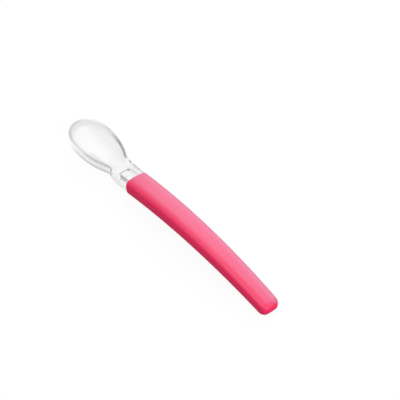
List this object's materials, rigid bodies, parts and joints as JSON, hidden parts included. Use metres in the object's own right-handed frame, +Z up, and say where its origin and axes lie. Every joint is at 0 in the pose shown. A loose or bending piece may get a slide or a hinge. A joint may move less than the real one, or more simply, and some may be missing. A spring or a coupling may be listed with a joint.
{
  "type": "baby feeding spoon",
  "caption": "Long-handled weaning spoon: a clear deep bowl and slotted tang in one moulding, with a soft arched grip moulded round the tang.",
  "frame": {"origin": "centre of the spoon's length and width, on the surface that it lies on", "axes": "+X runs from the bowl to the tail of the grip, +Z is up out of the bowl, +Y is across the spoon"},
  "size_m": [0.1492, 0.0206, 0.0125],
  "materials": {
    "clear_moulding": "clear and smooth, slightly milky",
    "soft_grip": "satin soft-touch, pink"
  },
  "bodies": {
    "root": {"clear_body": "clear_moulding", "grip": "soft_grip"}
  },
  "joints": []
}
